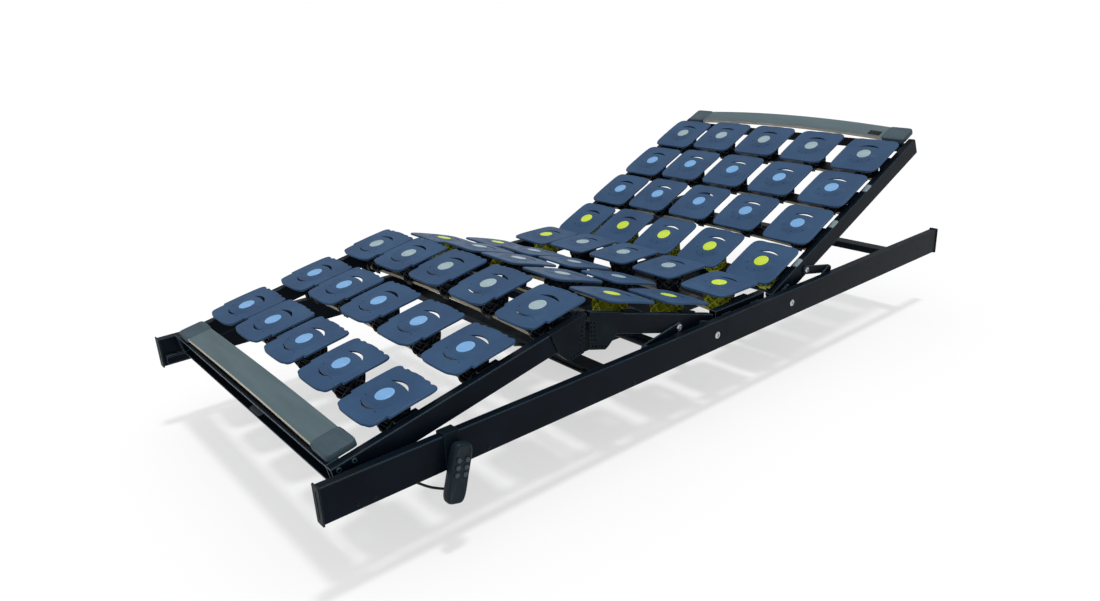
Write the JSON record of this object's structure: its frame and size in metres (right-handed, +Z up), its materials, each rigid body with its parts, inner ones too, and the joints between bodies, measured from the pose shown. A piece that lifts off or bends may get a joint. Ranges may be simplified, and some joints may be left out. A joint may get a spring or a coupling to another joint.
{
  "type": "adjustable bed base",
  "caption": "Motorised adjustable bed base: steel rails, tilting back, thigh and calf sections, sprung plate modules on cross slats, twin drive and corded handset.",
  "frame": {"origin": "centre of the leg bolt pattern, on the underside of the side rails, mid length and mid width", "axes": "+X across the bed to the handset side, +Y along the bed from the foot end to the head end, +Z up"},
  "size_m": [0.9321, 2.005, 0.4847],
  "materials": {
    "frame_steel": "satin powder coat",
    "black_plastic": "fine moulded texture",
    "slate_plastic": "ribbed, matt",
    "plate_plastic": "moulded, matt",
    "disc_plastic": "smooth, satin",
    "slat_wood": "laminated, film faced",
    "zinc_steel": "zinc plated",
    "elastomer_dark": "matt",
    "elastomer_lime": "matt",
    "bush_plastic": "smooth",
    "cord_rubber": "matt",
    "button_plastic": "smooth"
  },
  "bodies": {
    "base": {"side_rails": "frame_steel", "rail_end_caps": "black_plastic", "cross_tubes": "frame_steel", "seat_frame": "frame_steel", "rail_bolts": "zinc_steel", "seat_slat": "slat_wood", "seat_slat_holders": "black_plastic", "seat_springs": "elastomer_lime", "foot_ledges": "frame_steel", "shaft_bushes": "bush_plastic", "drive_lower_shell": "black_plastic", "drive_cover": "black_plastic", "drive_motors": "zinc_steel", "handset_hook": "black_plastic", "handset_cord": "cord_rubber", "cord_clips": "black_plastic"},
    "thigh": {"thigh_frame": "frame_steel", "thigh_slats": "slat_wood", "thigh_slat_holders": "black_plastic", "thigh_springs_soft": "elastomer_lime", "thigh_springs_firm": "elastomer_dark", "thigh_knee_covers": "black_plastic", "thigh_pins": "zinc_steel"},
    "calf": {"calf_frame": "frame_steel", "calf_slats": "slat_wood", "calf_slat_holders": "black_plastic", "calf_springs": "elastomer_dark", "calf_knee_covers": "black_plastic", "foot_end_slat": "slat_wood", "foot_end_slat_caps": "slate_plastic", "calf_rollers": "black_plastic"},
    "back": {"back_frame": "frame_steel", "back_slats": "slat_wood", "back_slat_holders": "black_plastic", "back_springs_soft": "elastomer_lime", "back_springs_firm": "elastomer_dark", "head_end_slat": "slat_wood", "head_end_slat_caps": "slate_plastic", "back_pins": "zinc_steel"},
    "seat_modules": {"seat_plates": "plate_plastic", "seat_discs": "disc_plastic"},
    "thigh_modules": {"thigh_plates": "plate_plastic", "thigh_discs": "disc_plastic"},
    "calf_modules": {"calf_plates": "plate_plastic", "calf_discs": "disc_plastic"},
    "back_modules": {"back_plates": "plate_plastic", "back_discs": "disc_plastic"},
    "leg_shaft": {"leg_shaft": "frame_steel"},
    "back_shaft": {"back_shaft": "frame_steel"},
    "leg_links": {"leg_links": "frame_steel"},
    "back_links": {"back_links": "frame_steel"},
    "leg_drive_nut": {"leg_drive_nut": "bush_plastic"},
    "back_drive_nut": {"back_drive_nut": "bush_plastic"},
    "handset": {"handset_shell": "black_plastic"},
    "button_back_up": {"button_back_up": "button_plastic"},
    "button_back_down": {"button_back_down": "button_plastic"},
    "button_legs_up": {"button_legs_up": "button_plastic"},
    "button_legs_down": {"button_legs_down": "button_plastic"},
    "button_both_up": {"button_both_up": "button_plastic"},
    "button_both_down": {"button_both_down": "button_plastic"}
  },
  "joints": [
    {"name": "thigh_lift", "type": "hinge", "parent": "base", "child": "thigh", "pos_m": [0, -0.017, 0.036], "axis": [-1, 0, 0], "range_deg": [-16.4, 6]},
    {"name": "knee_fold", "type": "hinge", "parent": "thigh", "child": "calf", "pos_m": [0, -0.38899, 0.17676], "axis": [1, 0, 0], "range_deg": [-27.7, 10.2]},
    {"name": "back_lift", "type": "hinge", "parent": "base", "child": "back", "pos_m": [0, 0.271, 0.036], "axis": [1, 0, 0], "range_deg": [-24.5, 45.5]},
    {"name": "leg_shaft_turn", "type": "hinge", "parent": "base", "child": "leg_shaft", "pos_m": [0, -0.125, 0.017], "axis": [-1, 0, 0], "range_deg": [-16.5, 6.1]},
    {"name": "back_shaft_turn", "type": "hinge", "parent": "base", "child": "back_shaft", "pos_m": [0, 0.367, 0.017], "axis": [1, 0, 0], "range_deg": [-24.6, 45.6]},
    {"name": "leg_link_pivot", "type": "hinge", "parent": "thigh", "child": "leg_links", "pos_m": [0, -0.12009, 0.07885], "axis": [-1, 0, 0], "range_deg": [-6.1, 16.5]},
    {"name": "back_link_pivot", "type": "hinge", "parent": "back", "child": "back_links", "pos_m": [0, 0.36703, 0.09295], "axis": [1, 0, 0], "range_deg": [-45.6, 24.6]},
    {"name": "leg_nut_travel", "type": "slide", "parent": "base", "child": "leg_drive_nut", "axis": [0, -1, 0], "range_m": [-0.0167, 0.0062]},
    {"name": "back_nut_travel", "type": "slide", "parent": "base", "child": "back_drive_nut", "axis": [0, 1, 0], "range_m": [-0.0234, 0.0433]},
    {"name": "seat_modules_sink", "type": "slide", "parent": "base", "child": "seat_modules", "axis": [0, 0, -1], "range_m": [0, 0.012], "stiffness_N_per_m": 10000, "springref_m": -0.003, "deforming": ["seat_springs"]},
    {"name": "thigh_modules_sink", "type": "slide", "parent": "thigh", "child": "thigh_modules", "axis": [0, -0.2823, -0.9593], "range_m": [0, 0.012], "stiffness_N_per_m": 20000, "springref_m": -0.003, "deforming": ["thigh_springs_soft", "thigh_springs_firm"]},
    {"name": "calf_modules_sink", "type": "slide", "parent": "calf", "child": "calf_modules", "axis": [0, 0.1948, -0.9809], "range_m": [0, 0.012], "stiffness_N_per_m": 30000, "springref_m": -0.003, "deforming": ["calf_springs"]},
    {"name": "back_modules_sink", "type": "slide", "parent": "back", "child": "back_modules", "axis": [0, 0.4147, -0.91], "range_m": [0, 0.012], "stiffness_N_per_m": 40000, "springref_m": -0.003, "deforming": ["back_springs_soft", "back_springs_firm"]},
    {"name": "handset_lift_off", "type": "slide", "parent": "base", "child": "handset", "axis": [0, 0.2756, 0.9613], "range_m": [0, 0.04]},
    {"name": "button_back_up_press", "type": "slide", "parent": "handset", "child": "button_back_up", "axis": [-1, 0, 0], "range_m": [0, 0.0008], "stiffness_N_per_m": 600, "springref_m": -0.0002},
    {"name": "button_back_down_press", "type": "slide", "parent": "handset", "child": "button_back_down", "axis": [-1, 0, 0], "range_m": [0, 0.0008], "stiffness_N_per_m": 600, "springref_m": -0.0002},
    {"name": "button_legs_up_press", "type": "slide", "parent": "handset", "child": "button_legs_up", "axis": [-1, 0, 0], "range_m": [0, 0.0008], "stiffness_N_per_m": 600, "springref_m": -0.0002},
    {"name": "button_legs_down_press", "type": "slide", "parent": "handset", "child": "button_legs_down", "axis": [-1, 0, 0], "range_m": [0, 0.0008], "stiffness_N_per_m": 600, "springref_m": -0.0002},
    {"name": "button_both_up_press", "type": "slide", "parent": "handset", "child": "button_both_up", "axis": [-1, 0, 0], "range_m": [0, 0.0008], "stiffness_N_per_m": 600, "springref_m": -0.0002},
    {"name": "button_both_down_press", "type": "slide", "parent": "handset", "child": "button_both_down", "axis": [-1, 0, 0], "range_m": [0, 0.0008], "stiffness_N_per_m": 600, "springref_m": -0.0002}
  ],
  "couplings": [
    {"joint": "knee_fold", "follows": "thigh_lift", "ratio": 1.68},
    {"joint": "leg_shaft_turn", "follows": "thigh_lift", "ratio": 1},
    {"joint": "leg_link_pivot", "follows": "thigh_lift", "ratio": -1},
    {"joint": "leg_nut_travel", "follows": "thigh_lift", "m_per_rad": 0.0576},
    {"joint": "back_shaft_turn", "follows": "back_lift", "ratio": 1},
    {"joint": "back_link_pivot", "follows": "back_lift", "ratio": -1},
    {"joint": "back_nut_travel", "follows": "back_lift", "m_per_rad": 0.05425}
  ]
}
